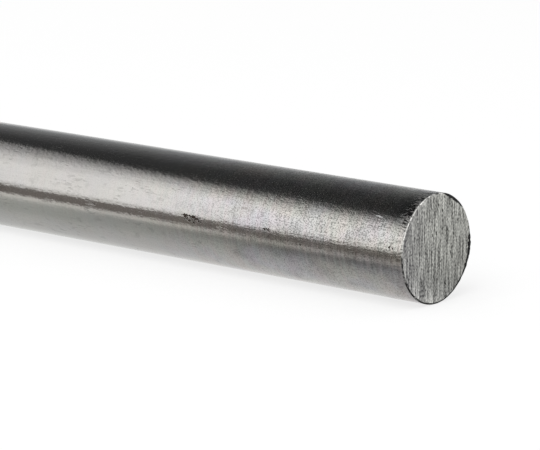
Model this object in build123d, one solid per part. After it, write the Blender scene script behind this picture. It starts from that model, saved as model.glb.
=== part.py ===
"""Round steel bar, drawn to size and sawn to length.

The bar lies on its side on a level surface. Its axis runs along X, halfway along its length
is at X = 0, and the line it rests on is at Y = 0, Z = 0. All sizes are in millimetres.
"""

from build123d import *

import os

# Driving dimensions
bar_diameter = 25.0  # drawn size of the round section
bar_length = 300.0  # from one sawn end to the other
edge_break = 0.25  # flat left round each sawn end where its burr was taken off


def drawn_bar(diameter, length):
    """A round section carried along X, as it leaves the die, centred on the axis."""
    section = Plane.YZ * Circle(diameter / 2)
    return extrude(section, amount=length / 2, both=True)


def break_sawn_edges(bar, width):
    """Takes the sharp corner off the rim of both sawn ends."""
    rims = bar.edges().filter_by(GeomType.CIRCLE)
    return chamfer(rims, length=width)


def round_bar():
    """The finished bar, lifted so that it rests on the level surface Z = 0."""
    bar = break_sawn_edges(drawn_bar(bar_diameter, bar_length), edge_break)
    return Pos(0, 0, bar_diameter / 2) * bar


os.makedirs("parts", exist_ok=True)
bar = round_bar()
bar.label = "round_bar"
export_step(bar, "parts/round_bar.step")
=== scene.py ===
"""Round steel bar, drawn bright and sawn to length, lying on a pale floor.

Lengths are in metres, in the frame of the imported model: the bar's axis runs along X, it rests
on Z = 0 along the line Y = 0, and its two sawn ends stand level either side of X = 0.
"""

import math

import bpy
import numpy as np
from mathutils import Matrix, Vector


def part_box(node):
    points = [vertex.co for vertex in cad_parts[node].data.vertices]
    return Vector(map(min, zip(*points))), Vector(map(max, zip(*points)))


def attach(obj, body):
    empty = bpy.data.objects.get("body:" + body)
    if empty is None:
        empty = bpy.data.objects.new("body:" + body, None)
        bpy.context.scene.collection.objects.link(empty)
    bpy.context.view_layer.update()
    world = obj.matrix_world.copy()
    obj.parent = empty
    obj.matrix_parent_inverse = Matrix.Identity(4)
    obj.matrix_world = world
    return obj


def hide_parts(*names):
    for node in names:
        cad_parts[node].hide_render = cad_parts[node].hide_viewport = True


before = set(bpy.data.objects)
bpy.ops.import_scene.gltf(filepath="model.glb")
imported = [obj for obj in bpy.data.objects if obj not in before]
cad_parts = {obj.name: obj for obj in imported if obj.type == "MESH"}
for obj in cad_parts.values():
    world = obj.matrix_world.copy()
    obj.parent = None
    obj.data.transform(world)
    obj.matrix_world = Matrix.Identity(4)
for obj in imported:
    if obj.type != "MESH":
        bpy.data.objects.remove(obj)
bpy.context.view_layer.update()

# --------------------------------------------------------------------------------------------
# The bar. One piece of plain steel, pulled through a round die, which leaves a bright skin with
# faint lines along it, then cut to length on a band saw and knocked free of its burr. Nothing
# is fixed to it, so its skin, its two broken edges and its two cuts are one closed surface.
# --------------------------------------------------------------------------------------------

bar_low, bar_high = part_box("round_bar")
bar_radius = (bar_high.y - bar_low.y) / 2
bar_axis_height = (bar_high.z + bar_low.z) / 2
bar_half_length = (bar_high.x - bar_low.x) / 2

rim_points = 768  # round the bar; even, so that a cut's columns run from rim point to rim point
skin_steps = 17  # from the middle to an end, shorter towards the end
edge_rings = 6  # from the skin over a broken edge to its cut
cut_rows = 52  # from the bottom of a cut to its top

edge_break = 0.0002  # how far a broken edge reaches, both along the skin and into the cut
edge_unevenness = 0.5  # share by which the file left it wider or narrower
edge_changes = (11, 90)  # times round the rim that its width changes, slowly and quickly
edge_change_shares = (1.3, 0.7)  # how much the slow and the quick changes count
dent_rings = (0.0018, 0.0012, 0.0008, 0.0005, 0.00025, 0.0001)  # of the skin, from the edge
dent_reach = 1.1 * dent_rings[0]  # where the file's dents in the skin have died away
dent_depth = 0.00007  # of the dents right beside the edge
dent_changes = 230  # times round the rim that the dents change
dent_length = 0.0005  # how soon they change along the bar
saw_depth = 0.00009  # from the highest ridge of a cut to its deepest groove
saw_pitches = (0.00032, 0.0006, 0.0013)  # between neighbouring grooves, finest first
saw_reaches = (0.008, 0.014, 0.025)  # how far along the cut each keeps its depth
saw_shares = (0.5, 0.32, 0.18)  # how much each adds to the depth

# The blade rolled its burr over where it left the cut. There it stayed on, dark with scale and
# painted shade; the file took the rest off, bright. Degrees round the rim from +Y by way of the
# top, and how much is left: above 1, it stands out over the skin as well.
burr_left = ((0, 1.6), (7, 1.1), (14, 0.0), (40, 0.0), (46, 0.9), (68, 0.8), (78, 0.1),
             (102, 0.1), (112, 0.03), (165, 0.03), (180, 0.15), (240, 0.15), (255, 0.3),
             (300, 0.5), (320, 0.9), (336, 1.6), (360, 1.6))
burr_changes = 150  # times round the rim that the burr breaks off wider or narrower
burr_spread = 0.0005  # how much further a full burr reaches into the cut than a broken edge
burr_spread_shares = (0.6, 0.8)  # its narrowest share of that, and what chance adds
burr_overhang = 0.0005  # how far it stands out over the skin for each 1 above 1
burr_overhang_shares = (0.4, 0.9)  # its least share of that, and what chance adds
burr_overhang_reach = 0.0004  # how far back over the skin it stands out

far_seed, near_seed = 40, 80  # of all that chance did to each end
burr_seed, dent_seed = 5, 3  # added to an end's own


def lattice(across, along, seed, period=97):
    """Chance heights from 0 to 1: a square table of them, blended by 3t2 - 2t3 between the
    four that stand round a place, and started again after each period."""
    table = np.random.default_rng(seed).random((period, period))
    i, j = np.floor(across).astype(int), np.floor(along).astype(int)
    u, v = across - i, along - j
    u, v = u * u * (3 - 2 * u), v * v * (3 - 2 * v)
    i, j, right, up = i % period, j % period, (i + 1) % period, (j + 1) % period
    low = table[i, j] * (1 - u) + table[right, j] * u
    high = table[i, up] * (1 - u) + table[right, up] * u
    return low * (1 - v) + high * v


def rim_lattice(angle, changes, seed):
    """Chance heights at each angle round the rim, from a lattice as long as one turn, so that
    they change so many times and then close on themselves."""
    return lattice(angle / (2 * np.pi) * changes, 0 * angle, seed, changes)


def saw_marks(y, z, seed):
    """How far a place on a cut lies below its highest ridge, from 0 to 1: the sum of three
    lattices, each narrow across the blade's way, which is upright, and long along it."""
    layers = zip(saw_pitches, saw_reaches, saw_shares)
    return sum(share * lattice(y / pitch, z / reach, seed + number)
               for number, (pitch, reach, share) in enumerate(layers))


def edge_width(angle, seed):
    """The width of a broken edge at each angle round the rim: its nominal width, made wider or
    narrower by the sum of a slow and a quick lattice round the rim."""
    changes = sum(share * rim_lattice(angle, times, seed + times)
                  for times, share in zip(edge_changes, edge_change_shares))
    return edge_break * (1 + edge_unevenness * (changes - 1))


def edge_surface(angle, burr, seed):
    """A broken edge that faces +X, as a grid of rings. The first few lie on the skin, dented a
    little, and lifted where the burr stands out over it. The rest follow a quarter turn from
    the skin to the cut, whose rim lies further in where the burr stayed on. Gives its points,
    the saw marks of the rim for each of them, and the rim's radius at each angle."""
    width = edge_width(angle, seed)
    ragged = rim_lattice(angle, burr_changes, seed + burr_seed)
    least, chance = burr_spread_shares
    rim = bar_radius - width - burr_spread * burr * (least + chance * ragged)
    least, chance = burr_overhang_shares
    overhang = burr_overhang * np.maximum(burr - 1, 0) * (least + chance * ragged)
    rim_marks = saw_marks(rim * np.cos(angle), rim * np.sin(angle), seed)
    turn = np.linspace(0, np.pi / 2, edge_rings)[:, None]
    edge_x = bar_half_length - saw_depth * rim_marks - width * (1 - np.sin(turn))
    edge_radius = rim + (bar_radius + overhang - rim) * np.cos(turn)
    back = np.array(dent_rings)[:, None]
    dents = lattice(angle / (2 * np.pi) * dent_changes + 0 * back, back / dent_length + 0 * angle,
                    seed + dent_seed, dent_changes)
    dents = -dent_depth * dents * (1 - back / dent_reach)
    dents = dents + overhang * np.clip(1 - back / burr_overhang_reach, 0, 1)
    x = np.vstack((edge_x[0] - back, edge_x))
    radius = np.vstack((bar_radius + dents, edge_radius))
    edge = np.stack((x, radius * np.cos(angle), radius * np.sin(angle)), -1)
    return edge, rim_marks + 0 * x, rim


def cut_surface(angle, rim, seed):
    """A cut that faces +X, inside its rim, as a grid of columns, each straight down from a rim
    point to the one below it, with x falling from the bar's end by the saw marks. Gives its
    points and their saw marks."""
    half = rim_points // 2
    rise = np.linspace(0, 1, cut_rows + 1)[1:-1]
    upper, lower = rim[1:half, None], rim[:half:-1, None]
    reach = lower + (upper - lower) * rise
    y = reach * np.cos(angle[1:half, None])
    z = reach * np.sin(angle[1:half, None]) * (2 * rise - 1)
    cut_marks = saw_marks(y, z, seed)
    return np.stack((bar_half_length - saw_depth * cut_marks, y, z), -1), cut_marks


def end_surface(angle, burr, seed):
    """One end of the bar, as if it faced +X: the points and the saw marks of its edge, and then
    those of the cut inside it."""
    edge, edge_marks, rim = edge_surface(angle, burr, seed)
    return edge, edge_marks, *cut_surface(angle, rim, seed)


def cut_faces(rim_start, inner_start):
    """The faces of a cut that faces +X: quads between its columns, and at either side a fan of
    triangles, where the outermost column meets a single rim point."""
    half = rim_points // 2
    column = np.arange(1, half)
    inner = inner_start + np.arange((half - 1) * (cut_rows - 1)).reshape(half - 1, -1)
    grid = np.column_stack((rim_start + rim_points - column, inner, rim_start + column))
    quads = np.stack((grid[:-1, :-1], grid[:-1, 1:], grid[1:, 1:], grid[1:, :-1]), -1)
    right = np.stack((np.full(cut_rows, rim_start), grid[0, 1:], grid[0, :-1]), -1)
    left = np.stack((np.full(cut_rows, rim_start + half), grid[-1, :-1], grid[-1, 1:]), -1)
    return quads.reshape(-1, 4), np.vstack((right, left))


angle = 2 * np.pi * np.arange(rim_points) / rim_points
near_burr = np.interp(np.degrees(angle), *np.transpose(burr_left))
far_burr = near_burr[::-1]  # the bar was turned over between its two cuts
far_edge, far_edge_marks, far_cut, far_cut_marks = end_surface(angle, far_burr, far_seed)
near_edge, near_edge_marks, near_cut, near_cut_marks = end_surface(angle, near_burr, near_seed)
turned_round = (-1, 1, 1)  # the far end looks along -X, so its faces are listed backwards
far_edge, far_cut = far_edge[::-1] * turned_round, far_cut * turned_round
end_rings = len(far_edge)

# The skin: rings from one end to the other, whose places along the bar follow a sine, so that
# they crowd towards both ends.
way = (1 + np.sin(np.linspace(-np.pi / 2, np.pi / 2, 2 * skin_steps + 1)[1:-1, None, None])) / 2
skin = far_edge[-1] * (1 - way) + near_edge[0] * way
rings = np.concatenate((far_edge, skin, near_edge))
points = np.vstack([part.reshape(-1, 3) for part in (rings, far_cut, near_cut)])
points += (0, 0, bar_axis_height)

# The saw marks and the burr at each point: the skin has neither, and the cuts have no burr.
cut_points = far_cut_marks.size
on_skin = np.zeros(skin[:, :, 0].size)
on_cuts = np.zeros(2 * cut_points)
marks = np.concatenate((far_edge_marks[::-1].ravel(), on_skin, near_edge_marks.ravel(),
                        far_cut_marks.ravel(), near_cut_marks.ravel()))
burr = np.concatenate((np.tile(far_burr, end_rings), on_skin, np.tile(near_burr, end_rings),
                       on_cuts))

# Round faces have a corner on this ring and the next, at this spot round the bar and the next.
ring, spot = (index.ravel() for index in np.meshgrid(
    np.arange(len(rings) - 1), np.arange(rim_points), indexing="ij"))
next_spot = (spot + 1) % rim_points
this_ring, next_ring = ring * rim_points, (ring + 1) * rim_points
round_faces = np.stack((this_ring + spot, this_ring + next_spot,
                        next_ring + next_spot, next_ring + spot), -1)
ring_points = len(rings) * rim_points  # after which come the cuts' own points
far_quads, far_fans = (faces[:, ::-1] for faces in cut_faces(0, ring_points))
near_quads, near_fans = cut_faces(ring_points - rim_points, ring_points + cut_points)

bar_mesh = bpy.data.meshes.new("steel_bar")
parts = (round_faces, far_quads, near_quads, far_fans, near_fans)
bar_mesh.from_pydata(points.tolist(), [], sum((part.tolist() for part in parts), []))
bar_mesh.shade_smooth()
for name, values in (("saw_marks", marks), ("burr", burr)):
    bar_mesh.attributes.new(name, "FLOAT", "POINT").data.foreach_set("value", values)

# Each face takes the finish of its own part of the bar: 0 skin, 1 broken edge, 2 cut.
on_edge = (ring < edge_rings - 1) | (ring >= len(rings) - edge_rings)
finish = np.concatenate((on_edge.astype(int), np.full(sum(map(len, parts[1:])), 2)))
bar_mesh.polygons.foreach_set("material_index", finish)

# The unrolled bar: each half's skin is a strip that starts on the line the bar rests on, with
# its end at the right, and the two cuts stand side by side below the strips. Sizes are shares
# of the whole map.
strip_height = 0.38
gap = 0.006  # between neighbours
end_share = 0.04  # of a strip, for the narrow rings of its end
far_middle, near_middle = 0.25, 0.75  # across the map, of the two cuts
cut_half_width = far_middle - gap
cut_height = 1 - 2 * strip_height - 2 * gap
lowest_spot = 3 * rim_points // 4
ring_along = np.abs(rings[:, :, 0].mean(1)) / bar_half_length * (1 - end_share)
over_end = np.linspace(1 - end_share, 1, end_rings)
ring_along[:end_rings] = over_end[::-1]
ring_along[-end_rings:] = over_end
strip_low = np.where(ring < len(rings) // 2, 1 - strip_height, 1 - 2 * strip_height - gap)
turned = (spot - lowest_spot) % rim_points / rim_points
next_turned = turned + 1 / rim_points
about = np.stack((turned, next_turned, next_turned, turned), -1)
here, ahead = ring_along[ring], ring_along[ring + 1]
along = np.stack((here, here, ahead, ahead), -1)
round_map = np.stack((gap / 2 + (1 - gap) * along,
                      strip_low[:, None] + (strip_height - gap / 2) * about), -1).reshape(-1, 2)


def cut_map(faces, middle):
    """Places on the unrolled bar of a cut's corners: its own y and z, drawn about the middle
    that it is given and twice as wide as high, because its marks are finest across."""
    y, z = points[faces.ravel(), 1], points[faces.ravel(), 2] - bar_axis_height
    wide = y / bar_radius * cut_half_width
    high = z / bar_radius * (cut_height / 2 - gap / 2)
    return np.stack((middle + wide, cut_height / 2 + high), -1)


unrolled = np.vstack((round_map, cut_map(far_quads, far_middle), cut_map(near_quads, near_middle),
                      cut_map(far_fans, far_middle), cut_map(near_fans, near_middle)))
bar_mesh.uv_layers.new(name="OFBake").uv.foreach_set("vector", unrolled.ravel())


def node(tree, kind, values, **settings):
    """A node with its settings made, each named socket given its value or joined to a socket."""
    made = tree.nodes.new("ShaderNode" + kind)
    for name, setting in settings.items():
        setattr(made, name, setting)
    for socket, value in values.items():
        if isinstance(value, bpy.types.NodeSocket):
            tree.links.new(value, made.inputs[socket])
        else:
            made.inputs[socket].default_value = value
    return made


def maths(tree, operation, *values):
    """One operation on one value or on two."""
    return node(tree, "Math", dict(enumerate(values)), operation=operation).outputs["Value"]


def product(tree, first, *others):
    """All the values multiplied together."""
    for other in others:
        first = maths(tree, "MULTIPLY", first, other)
    return first


def total(tree, *parts):
    """The sum of all the parts, each of them a value times the share of it that counts."""
    first, *others = (maths(tree, "MULTIPLY", value, share) for value, share in parts)
    for other in others:
        first = maths(tree, "ADD", first, other)
    return first


def step(tree, value, start, end, low=0.0, high=1.0):
    """low up to start, high from end on, and a smooth rise or fall between."""
    return node(tree, "MapRange", {"Value": value, "From Min": start, "From Max": end,
                                   "To Min": low, "To Max": high},
                interpolation_type="SMOOTHSTEP").outputs["Result"]


def grain(tree, place, changes, detail):
    """Chance from 0 to 1, mostly 0.3 to 0.7, that changes so many times a metre along X, Y and
    Z, with so many finer layers of chance over it."""
    scaled = node(tree, "Mapping", {"Vector": place, "Scale": changes})
    return node(tree, "TexNoise", {"Vector": scaled.outputs["Vector"], "Scale": 1.0,
                                   "Detail": detail}).outputs["Fac"]


def scattered(tree, place, changes, detail, start, end):
    """Marks wherever the grain rises: none up to start, and full from end on."""
    return step(tree, grain(tree, place, changes, detail), start, end)


def blend(tree, share, first, second, way="MIX"):
    """A colour that goes from the first to the second as the share rises, or, by the way
    MULTIPLY, from the first to the first times the second."""
    return node(tree, "Mix", {0: share, 6: first, 7: second}, data_type="RGBA",
                blend_type=way).outputs[2]


def steel(name):
    """A new metal material, its tree, its main shader, and the place on the bar."""
    material = bpy.data.materials.new(name)
    material.use_nodes = True
    tree = material.node_tree
    shader = tree.nodes["Principled BSDF"]
    shader.inputs["Metallic"].default_value = 1.0
    place = node(tree, "TexCoord", {}).outputs["Object"]
    return material, tree, shader, place


def finish_shader(tree, shader, colour, roughness, relief):
    """Joins colour, roughness and relief, a height in metres, to the shader."""
    tree.links.new(colour, shader.inputs["Base Color"])
    tree.links.new(roughness, shader.inputs["Roughness"])
    bump = node(tree, "Bump", {"Height": relief, "Distance": 1.0, "Strength": 1.0})
    tree.links.new(bump.outputs["Normal"], shader.inputs["Normal"])


# The drawn skin: bright and slightly warm, with the die's lines along it. Towards the sawn ends,
# where it was gripped and turned, it is worn, speckled and scuffed round about, and beside them
# the file slipped over it and nicked it; its dark nicks, and the top of the skin where it turns
# in, have painted shade. It has a few pits, a faint brown stain of damp, and a film of oil.
bright_steel = (0.855, 0.83, 0.803, 1)
dull_steel = (0.30, 0.295, 0.285, 1)
damp_brown = (0.42, 0.32, 0.26, 1)
pit_brown = (0.07, 0.055, 0.045, 1)
nick_shade_black = (0.05, 0.05, 0.05, 1)
bare_white = (1.0, 1.0, 1.0, 1)
stain_strength = 0.35  # share by which a stain hides the steel
nick_shade_strength = 0.85  # the same for the painted shade in a nick
polish = 0.085  # its roughness where nothing has marked it

# Tints of the oil film, which multiply the colour of the steel.
straw_film = (1.005, 1.005, 0.97, 1)
violet_film = (0.985, 0.985, 1.02, 1)
green_streaks = (0.98, 1.005, 0.995, 1)
rose_streaks = (1.02, 0.985, 0.99, 1)
thick_film = (0.985, 0.985, 1.035, 1)

# How often its grains change in a metre along X, Y and Z, and their detail.
die_line_grain = (7, 1500, 1500), 3
patch_grain = (60, 140, 140), 3
wave_grain = (800, 1200, 1200), 2
scuff_grain = (3000, 450, 450), 2
speckle_grain = (2800, 4300, 4300), 3
pit_grain = (2000, 2600, 2600), 1
nick_grain = (900, 1900, 1900), 1

# The same for its scattered marks, and the heights of the grain from which they show, first
# faintly and then in full.
wear = (130, 200, 200), 3, 0.45, 0.68  # places dulled by handling
tick_areas = (130, 260, 260), 2, 0.54, 0.66  # where ticks lie close together
ticks = (500, 2200, 2200), 1, 0.54, 0.64  # short fine dents that run along the bar
stains = (45, 90, 90), 3, 0.52, 0.72  # where damp lay
smudges = (260, 420, 420), 2, 0.58, 0.72  # small dull blots
smears = (900, 120, 120), 2, 0.45, 0.75  # narrow, and run round the bar
rubs = (1500, 120, 120), 1, 0.5, 0.62  # bright, finer than the smears, and run the same way
film_areas = (110, 170, 170), 2, 0.38, 0.66  # where the oil film goes from one tint to another
film_streaks = (600, 80, 80), 2, 0.38, 0.62  # the same, in streaks that run round the bar

# Those heights alone, for marks that share a grain or mix two.
specks_show = (0.455, 0.61)
stain_specks_show = (0.3, 0.6)
pits_show = (0.77, 0.83)
bright_nicks_show = (0.54, 0.60)
nick_shade_show = (0.38, 0.46, 1.0, 0.0)  # the other way about: in full first, then not at all

# Where marks set in, from the middle of the bar or above the floor: from which length to which,
# and, where it isn't from none to all, the share of them before and beyond.
gripped_along = (0.065, 0.125, 0.12, 1.0)
handled_up = (0.009, 0.014, 0.55, 1.0)
dulled_along = (0.05, 0.11, 0.2, 0.02)
tinted_along = (0.065, 0.1, 0.3, 0.9)
nicked_along = (bar_half_length - 0.0038, bar_half_length - 0.0012)
nicked_up = (0.0165, 0.0215, 0.25, 1.0)
# painted shade over the top beside the cuts, where the skin turns in
turned_in_along = (bar_half_length - 0.0065, bar_half_length - 0.002)
turned_in_up = (0.0165, 0.0203)
rubbed_from = (0.0065, 0.0095)
rubbed_up_to = (0.0115, 0.0128, 1.0, 0.0)

# Where pits lie together, one short bright scratch, and two smears of thicker oil: x, degrees
# round the bar from +Y by way of the top, and how far they reach along the bar and round it.
pitted_places = ((0.0893, 177.5, 0.0044, 0.0012), (0.0868, 175, 0.0015, 0.0007),
                 (0.1114, 175, 0.0016, 0.0006), (0.1467, 171.5, 0.0011, 0.0005),
                 (0.1211, 185, 0.0006, 0.0004), (-0.062, 250, 0.003, 0.001),
                 (-0.118, 60, 0.0018, 0.001), (0.021, 40, 0.0015, 0.001),
                 (-0.14, 120, 0.0015, 0.0008))
scratched_places = ((0.1412, 141.4, 0.0011, 0.00014), (0.1420, 142.2, 0.0007, 0.00012))
oiled_places = ((0.1018, 163, 0.016, 0.0042), (0.112, 208, 0.012, 0.004))
pitted_rise = 0.3  # how much higher the grain of the pits is in those places
fading = (0.5, 1.0, 1.0, 0.0)  # from half of its reach, in full, to all of it, where it ends


def spots(tree, place, places):
    """1 inside the places that are given, and 0 beyond their reach: how far it is from the
    middle of each, counted in its own reach along the bar and round it, and faded out."""
    inside = None
    for x, degrees, reach_along, reach_round in places:
        turn = math.radians(degrees)
        middle = (x, bar_radius * math.cos(turn),
                  bar_axis_height + bar_radius * math.sin(turn))
        reach = (reach_along, reach_round, reach_round)
        away = node(tree, "VectorMath", {0: place, 1: middle}, operation="SUBTRACT").outputs[0]
        away = node(tree, "VectorMath", {0: away, 1: reach}, operation="DIVIDE").outputs[0]
        away = node(tree, "VectorMath", {0: away}, operation="LENGTH").outputs["Value"]
        spot = step(tree, away, *fading)
        inside = spot if inside is None else maths(tree, "MAXIMUM", inside, spot)
    return inside


skin_steel, tree, shader, place = steel("drawn_skin")
axes = node(tree, "SeparateXYZ", {"Vector": place}).outputs
from_middle = maths(tree, "ABSOLUTE", axes["X"])
above_floor = axes["Z"]
gripped = step(tree, from_middle, *gripped_along)
handled = product(tree, gripped, step(tree, above_floor, *handled_up))

# What the die left: lines, broad patches, gentle waves and short ticks.
die_lines = grain(tree, place, *die_line_grain)
patches = grain(tree, place, *patch_grain)
waves = grain(tree, place, *wave_grain)
ticked = product(tree, scattered(tree, place, *tick_areas), scattered(tree, place, *ticks))

# What gripping, turning and handling left: a speckle of dull points mixed with scuffs, worn
# places, smudges, smears, and streaks that were rubbed bright on the lower side.
scuffs = grain(tree, place, *scuff_grain)
speckle = grain(tree, place, *speckle_grain)
specks = total(tree, (scuffs, 0.25), (speckle, 0.75))
dull_specks = product(tree, step(tree, specks, *specks_show), handled)
worn = product(tree, scattered(tree, place, *wear), gripped)
smudged = scattered(tree, place, *smudges)
smeared = product(tree, scattered(tree, place, *smears), handled)
rubbed = product(tree, scattered(tree, place, *rubs), handled,
                 step(tree, above_floor, *rubbed_from), step(tree, above_floor, *rubbed_up_to))
scratched = spots(tree, place, scratched_places)

# What damp left: pits where they lie together, and a stain that is deepest in the specks.
pitted = spots(tree, place, pitted_places)
pits = total(tree, (grain(tree, place, *pit_grain), 1.0), (pitted, pitted_rise))
pits = step(tree, pits, *pits_show)
stained = product(tree, scattered(tree, place, *stains),
                  step(tree, speckle, *stain_specks_show), handled)

# Beside the cuts: the file's nicks, the dark ones painted shade and the bright ones rough; and
# painted shade over the top, where the skin turns in towards the cut.
nicks = grain(tree, place, *nick_grain)
nicked = product(tree, step(tree, from_middle, *nicked_along),
                 step(tree, above_floor, *nicked_up))
painted_nick_shade = product(tree, step(tree, nicks, *nick_shade_show), nicked)
bright_nicks = product(tree, step(tree, nicks, *bright_nicks_show), nicked)
turned_in_shade = product(tree, step(tree, from_middle, *turned_in_along),
                     step(tree, above_floor, *turned_in_up))

# How much each kind of mark adds to the skin's dullness, to its roughness, and, in metres, to
# its height.
dulled = step(tree, from_middle, *dulled_along)
dullness = total(
    tree, (dull_specks, 0.80), (dulled, 1.0), (ticked, 0.2), (worn, 0.17), (patches, 0.16),
    (smudged, 0.14), (turned_in_shade, 0.42), (rubbed, -0.35), (smeared, 0.16), (die_lines, 0.12))
skin_roughness = total(
    tree, (dull_specks, 0.06), (patches, 0.04), (pits, 0.3), (bright_nicks, 0.4),
    (scratched, 0.45), (handled, 0.045), (rubbed, 0.06), (polish, 1.0))
skin_relief = total(
    tree, (product(tree, specks, handled), 2.5e-5), (waves, 3e-5), (ticked, -1.3e-5),
    (die_lines, 1.5e-6), (pits, -4e-5), (product(tree, nicks, nicked), 1.5e-4))

# Its colour: dulled, with painted shade over the top beside the cuts, stained, tinted by the oil
# film, and marked last of all, the nicks with painted shade.
skin_colour = blend(tree, dullness, bright_steel, dull_steel)
skin_colour = blend(tree, product(tree, stained, stain_strength), skin_colour, damp_brown)
film = blend(tree, scattered(tree, place, *film_areas), straw_film, violet_film)
streaks = blend(tree, scattered(tree, place, *film_streaks), green_streaks, rose_streaks)
tinted = step(tree, from_middle, *tinted_along)
oiled = spots(tree, place, oiled_places)
for share, tint in ((tinted, film), (tinted, streaks), (oiled, thick_film)):
    skin_colour = blend(tree, share, skin_colour, tint, "MULTIPLY")
# the painted shade in the nicks
skin_colour = blend(tree, product(tree, painted_nick_shade, nick_shade_strength), skin_colour, nick_shade_black)
skin_colour = blend(tree, scratched, skin_colour, bare_white)
skin_colour = blend(tree, pits, skin_colour, pit_brown)
finish_shader(tree, shader, skin_colour, skin_roughness, skin_relief)

# The broken edge: filed bright in ragged places, and black where the burr stayed on: black scale
# and oil held there, and painted shade of the burr's shadow gap. The black is no metal, so it
# stays black however it is looked at.
filed_bright = (0.92, 0.91, 0.88, 1)
filed_grey = (0.42, 0.415, 0.40, 1)
black_scale_and_shade = (0.015, 0.015, 0.015, 1)
scale_gloss = 0.1
filed_roughness = 0.25
scale_roughness = 0.6
file_strokes = (800, 1100, 1100), 2, 0.42, 0.58
scale_and_shade_grain = (900, 900, 900), 2
scale_and_shade_shows = (0.45, 0.75)
edge_grain = (1800, 1800, 1800), 2
edge_grain_height = 2e-5

edge_steel, tree, shader, place = steel("filed_edge")
shader.inputs["Specular IOR Level"].default_value = scale_gloss
burr_here = node(tree, "Attribute", {}, attribute_name="burr").outputs["Fac"]
burr_darkness = total(tree, (burr_here, 2.0), (grain(tree, place, *scale_and_shade_grain), 0.8))
scale_and_shade = step(tree, burr_darkness, *scale_and_shade_shows)
filed = blend(tree, scattered(tree, place, *file_strokes), filed_grey, filed_bright)
# black where the burr stayed on: scale, and painted shade of its shadow gap
edge_colour = blend(tree, scale_and_shade, filed, black_scale_and_shade)
bare_metal = step(tree, scale_and_shade, 0, 1, 1, 0)
tree.links.new(bare_metal, shader.inputs["Metallic"])
edge_roughness = step(tree, scale_and_shade, 0, 1, filed_roughness, scale_roughness)
edge_relief = product(tree, grain(tree, place, *edge_grain), edge_grain_height)
finish_shader(tree, shader, edge_colour, edge_roughness, edge_relief)

# The cut: grey, matt and a little green beside the skin, darker in the grooves, with dirt in them
# and painted shade, with finer scratches between them that are broken into lengths, and a few
# specks where the saw tore a grain out. Towards -Y it is duller and a touch violet.
cut_bright = (0.95, 0.955, 0.905, 1)
cut_dark = (0.09, 0.09, 0.085, 1)
violet_side = (0.42, 0.39, 0.50, 1)
torn_black = (0.05, 0.05, 0.045, 1)
cut_roughness_range = (0.34, 0.5)  # where it is brightest and where it is darkest
scratch_grain = (1, 3600, 150), 0  # long ones
break_grain = (1, 3900, 1700), 0  # short ones, which break the long ones up
scratches_show = (0.42, 0.58)
scratch_depth = 2.5e-5
grooves_show = (0.34, 0.66)
torn_specks = (900, 1400, 600), 2, 0.64, 0.70
duller_side_across = (-0.0115, 0.001, 0.12, 0.0)  # along Y, with its share before and beyond

cut_steel, tree, shader, place = steel("sawn_cut")
groove = node(tree, "Attribute", {}, attribute_name="saw_marks").outputs["Fac"]
scratches = grain(tree, place, *scratch_grain)
breaks = grain(tree, place, *break_grain)
across = node(tree, "SeparateXYZ", {"Vector": place}).outputs["Y"]
duller_side = step(tree, across, *duller_side_across)
# darker in the grooves: dirt in them, and painted shade
darkness = total(
    tree, (step(tree, groove, *grooves_show), 0.14),
    (step(tree, scratches, *scratches_show), 0.49),
    (step(tree, breaks, *scratches_show), 0.38), (duller_side, 0.6))
cut_colour = blend(tree, darkness, cut_bright, cut_dark)
cut_colour = blend(tree, duller_side, cut_colour, violet_side)
cut_colour = blend(tree, scattered(tree, place, *torn_specks), cut_colour, torn_black)
cut_roughness = step(tree, darkness, 0, 1, *cut_roughness_range)
finish_shader(tree, shader, cut_colour, cut_roughness, product(tree, scratches, -scratch_depth))

for material in (skin_steel, edge_steel, cut_steel):
    bar_mesh.materials.append(material)
steel_bar = bpy.data.objects.new("steel_bar", bar_mesh)
bpy.context.scene.collection.objects.link(steel_bar)
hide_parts("round_bar")
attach(steel_bar, "root")

# --------------------------------------------------------------------------------------------
# The floor. A broad sheet of white paper, level at the height that the bar rests on. It shows
# the bar's shadow. The steel mirrors it as a table laid with cards: grey beside the bar, then
# a dark strip before it and one behind it, then pale far off.
# --------------------------------------------------------------------------------------------

floor_half_width = 3.0
paper_white = (0.92, 0.92, 0.92, 1)
paper_glow = 0.7  # share of its look that is plain white, so that its shadow stays faint
full_white = (1, 1, 1, 1)

# The colours of the cards, at distances from the bar's resting line in bar radii: beside the
# middle of the bar, beside its ends, and past its ends.
middle_card = (
    (0.0, (0.95, 0.96, 0.95)), (0.25, (0.72, 0.73, 0.72)), (0.55, (0.575, 0.585, 0.58)),
    (1.3, (0.41, 0.43, 0.41)), (1.9, (0.45, 0.465, 0.445)), (2.4, (0.70, 0.70, 0.67)),
    (2.8, (0.61, 0.60, 0.58)), (3.0, (0.18, 0.165, 0.155)), (7.8, (0.19, 0.177, 0.167)),
    (8.5, (0.65, 0.64, 0.63)), (13, (0.79, 0.79, 0.78)), (26, (0.85, 0.85, 0.85)))
end_card = (
    (0.0, (0.96, 0.96, 0.96)), (0.25, (0.74, 0.735, 0.74)), (0.55, (0.55, 0.55, 0.56)),
    (0.85, (0.45, 0.45, 0.455)), (1.15, (0.37, 0.375, 0.375)), (1.55, (0.23, 0.235, 0.24)),
    (1.9, (0.145, 0.145, 0.145)), (2.4, (0.35, 0.34, 0.33)), (2.9, (0.23, 0.22, 0.21)),
    (3.1, (0.16, 0.15, 0.14)), (9.2, (0.12, 0.11, 0.10)), (9.9, (0.57, 0.56, 0.55)),
    (15, (0.78, 0.78, 0.77)), (26, (0.85, 0.85, 0.85)))
beyond_card = (
    (0.0, (0.55, 0.55, 0.545)), (3.2, (0.62, 0.62, 0.61)), (6.0, (0.56, 0.56, 0.55)),
    (11.5, (0.56, 0.56, 0.55)), (12.5, (0.85, 0.85, 0.85)))
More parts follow.
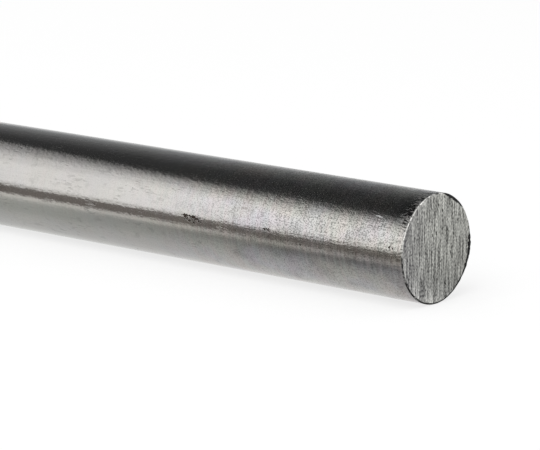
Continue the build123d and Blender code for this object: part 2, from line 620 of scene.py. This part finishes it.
end_card_from_middle = (0.0, 0.13)  # along X, where the end card takes over
beyond_card_from_middle = (bar_half_length + 0.005, bar_half_length + 0.03)
far_side_from_bar = (12 * bar_radius, 14 * bar_radius)  # along Y, where it is a little darker
far_side_grey = (0.15, 0.15, 0.15, 1)
far_side_share = 0.08

floor_mesh = bpy.data.meshes.new("floor")
corners = np.array([(-1, -1), (1, -1), (1, 1), (-1, 1)]) * floor_half_width
floor_mesh.from_pydata(np.column_stack((corners, np.zeros(4))).tolist(), [], [(0, 1, 2, 3)])


def bare_material(name):
    """A new material, its tree, emptied, and the place along X, Y and Z on what it covers."""
    material = bpy.data.materials.new(name)
    material.use_nodes = True
    tree = material.node_tree
    tree.nodes.clear()
    place = node(tree, "TexCoord", {}).outputs["Object"]
    return material, tree, node(tree, "SeparateXYZ", {"Vector": place}).outputs


def ramp(tree, value, stops):
    """The colours that are given, each at its own value, with straight blends between them."""
    start, reach = stops[0][0], stops[-1][0] - stops[0][0]
    share = node(tree, "MapRange", {"Value": value, "From Min": start,
                                    "From Max": start + reach}).outputs["Result"]
    tones = node(tree, "ValToRGB", {"Fac": share})
    elements = tones.color_ramp.elements
    while len(elements) < len(stops):
        elements.new(0.5)
    for element, (at, colour) in zip(elements, stops):
        element.position, element.color = (at - start) / reach, (*colour, 1)
    return tones.outputs["Color"]


floor_paper, tree, where = bare_material("floor_paper")
from_middle = maths(tree, "ABSOLUTE", where["X"])
beside_bar = maths(tree, "DIVIDE", maths(tree, "ABSOLUTE", where["Y"]), bar_radius)
cards = blend(tree, step(tree, from_middle, *end_card_from_middle),
              ramp(tree, beside_bar, middle_card), ramp(tree, beside_bar, end_card))
cards = blend(tree, step(tree, from_middle, *beyond_card_from_middle), cards,
              ramp(tree, beside_bar, beyond_card))
far_side = product(tree, step(tree, where["Y"], *far_side_from_bar), far_side_share)
cards = blend(tree, far_side, cards, far_side_grey)

# The camera sees white paper with the bar's shadow on it, and the steel mirrors the cards.
paper = node(tree, "BsdfDiffuse", {"Color": paper_white}).outputs["BSDF"]
glow = node(tree, "Emission", {"Color": full_white, "Strength": 1.0}).outputs["Emission"]
seen = node(tree, "MixShader", {0: paper_glow, 1: paper, 2: glow}).outputs["Shader"]
mirrored = node(tree, "Emission", {"Color": cards, "Strength": 1.0}).outputs["Emission"]
rays = node(tree, "LightPath", {}).outputs
surface = node(tree, "MixShader", {0: rays["Is Camera Ray"], 1: paper, 2: seen})
surface = node(tree, "MixShader", {0: rays["Is Glossy Ray"], 1: surface.outputs["Shader"],
                                   2: mirrored})
node(tree, "OutputMaterial", {"Surface": surface.outputs["Shader"]})
floor_mesh.materials.append(floor_paper)
floor = bpy.data.objects.new("floor", floor_mesh)
bpy.context.scene.collection.objects.link(floor)

# --------------------------------------------------------------------------------------------
# The flag. A sheet of dark cloth held level above the bar, thinning out towards its edges, and
# hanging down to the floor behind it. Only the steel sees it: it mirrors it as the dark band
# along the top of the bar.
# --------------------------------------------------------------------------------------------

flag_height = bar_axis_height + 0.5
flag_left, flag_right = -9.0, 0.5
flag_front, flag_back = -0.7, 3.0

# How thick the cloth is, from clear to full, along X at its left edge. That edge runs aslant:
# further right for each metre before the bar, and further left for each metre behind it.
left_edge = ((-1.35, (0, 0, 0)), (-0.95, (0.105, 0.105, 0.105)), (-0.75, (0.17, 0.17, 0.17)),
             (-0.65, (0.295, 0.295, 0.295)), (-0.55, (0.55, 0.55, 0.55)),
             (-0.48, (0.72, 0.72, 0.72)), (-0.42, (0.975, 0.975, 0.975)), (-0.405, (1, 1, 1)))
left_slants = (0.57, 0.8)
right_edge = (0.3, 0.5, 1.0, 0.0)  # along X, from full to clear
front_edge = (-0.75, -0.45)  # along Y, from clear to full
back_edge = (0.05, 0.45, 1.0, 0.0)  # along Y, from full to clear, at the middle of the bar
back_slant = 2.6  # how much further forward it lies for each metre to the right

# Its colours, at distances behind the bar: nearly black above it, and paler the further back.
flag_tones = (
    (0.0, (0.034, 0.035, 0.036)), (0.17, (0.047, 0.0485, 0.05)), (0.46, (0.118, 0.121, 0.125)),
    (0.7, (0.182, 0.188, 0.194)), (1.1, (0.243, 0.251, 0.259)), (1.5, (0.315, 0.327, 0.338)),
    (2.4, (0.40, 0.41, 0.42)), (2.9, (0.53, 0.54, 0.55)))

flag_mesh = bpy.data.meshes.new("overhead_flag")
flag_corners = [(flag_left, flag_front, flag_height), (flag_left, flag_back, flag_height),
                (flag_right, flag_back, flag_height), (flag_right, flag_front, flag_height),
                (flag_left, flag_back, 0), (flag_right, flag_back, 0)]
level_part, hanging_part = (0, 1, 2, 3), (1, 4, 5, 2)
flag_mesh.from_pydata(flag_corners, [], [level_part, hanging_part])
flag_cloth, tree, where = bare_material("flag_cloth")
aslant = maths(tree, "MAXIMUM", *(product(tree, where["Y"], slant) for slant in left_slants))
from_left = maths(tree, "ADD", where["X"], aslant)
to_back = maths(tree, "ADD", where["Y"], product(tree, where["X"], back_slant))
thickness = product(tree, ramp(tree, from_left, left_edge),
                    step(tree, where["Y"], *front_edge), step(tree, to_back, *back_edge),
                    step(tree, where["X"], *right_edge))
tones = ramp(tree, where["Y"], flag_tones)
dark = node(tree, "Emission", {"Color": tones, "Strength": 1.0}).outputs["Emission"]
clear = node(tree, "BsdfTransparent", {}).outputs["BSDF"]
surface = node(tree, "MixShader", {0: thickness, 1: clear, 2: dark}).outputs["Shader"]
node(tree, "OutputMaterial", {"Surface": surface})
flag_mesh.materials.append(flag_cloth)
flag = bpy.data.objects.new("overhead_flag", flag_mesh)
bpy.context.scene.collection.objects.link(flag)
flag.visible_camera = flag.visible_diffuse = flag.visible_shadow = False
flag.visible_transmission = flag.visible_volume_scatter = False

# --------------------------------------------------------------------------------------------
# The light. White studio walls all round, and one broad soft lamp above and before the bar,
# turned towards it, which throws its shadow back under it.
# --------------------------------------------------------------------------------------------

wall_strength = 1.0  # as looked at or mirrored, which is plain white
room_strength = 0.8  # as they light the floor and the bar
lamp_width = 1.6
lamp_power = 20.0  # in watts
lamp_right, lamp_before, lamp_height = 0.3, 1.2, 1.5  # of where the bar's middle rests

world = bpy.data.worlds.new("studio")
bpy.context.scene.world = world
world.use_nodes = True
tree = world.node_tree
tree.nodes.clear()
rays = node(tree, "LightPath", {}).outputs
shown = maths(tree, "MAXIMUM", rays["Is Camera Ray"], rays["Is Glossy Ray"])
shown = maths(tree, "MAXIMUM", shown, rays["Is Transmission Ray"])
walls, room = (node(tree, "Background", {"Color": full_white, "Strength": strength}).outputs[0]
               for strength in (wall_strength, room_strength))
surroundings = node(tree, "MixShader", {0: shown, 1: room, 2: walls}).outputs["Shader"]
node(tree, "OutputWorld", {"Surface": surroundings})

lamp = bpy.data.lights.new("soft_lamp", "AREA")
lamp.shape = "SQUARE"
lamp.size = lamp_width
lamp.energy = lamp_power
soft_lamp = bpy.data.objects.new("soft_lamp", lamp)
soft_lamp.location = (lamp_right, -lamp_before, lamp_height)
soft_lamp.rotation_euler = (math.atan2(lamp_before, lamp_height), 0,
                            math.atan2(lamp_right, lamp_before))
soft_lamp.visible_glossy = False
bpy.context.scene.collection.objects.link(soft_lamp)

# --------------------------------------------------------------------------------------------
# The camera. It looks down on the near end from the right and the front, from far enough off
# that the bar hardly tapers.
# --------------------------------------------------------------------------------------------

camera_place = (0.57187, -0.55982, 0.16667)
camera_azimuth = math.radians(40.01)  # to the left of +Y
camera_elevation = math.radians(12.0)  # down from level
sensor_width, focal_length = 36.0, 216.7  # in millimetres
nearest_seen, furthest_seen = 0.01, 50.0

lens = bpy.data.cameras.new("camera")
lens.sensor_width = sensor_width
lens.lens = focal_length
lens.clip_start = nearest_seen
lens.clip_end = furthest_seen
camera = bpy.data.objects.new("camera", lens)
camera.location = camera_place
camera.rotation_euler = (math.pi / 2 - camera_elevation, 0, camera_azimuth)
bpy.context.scene.collection.objects.link(camera)
bpy.context.scene.camera = camera
bpy.context.scene.view_settings.view_transform = "Standard"
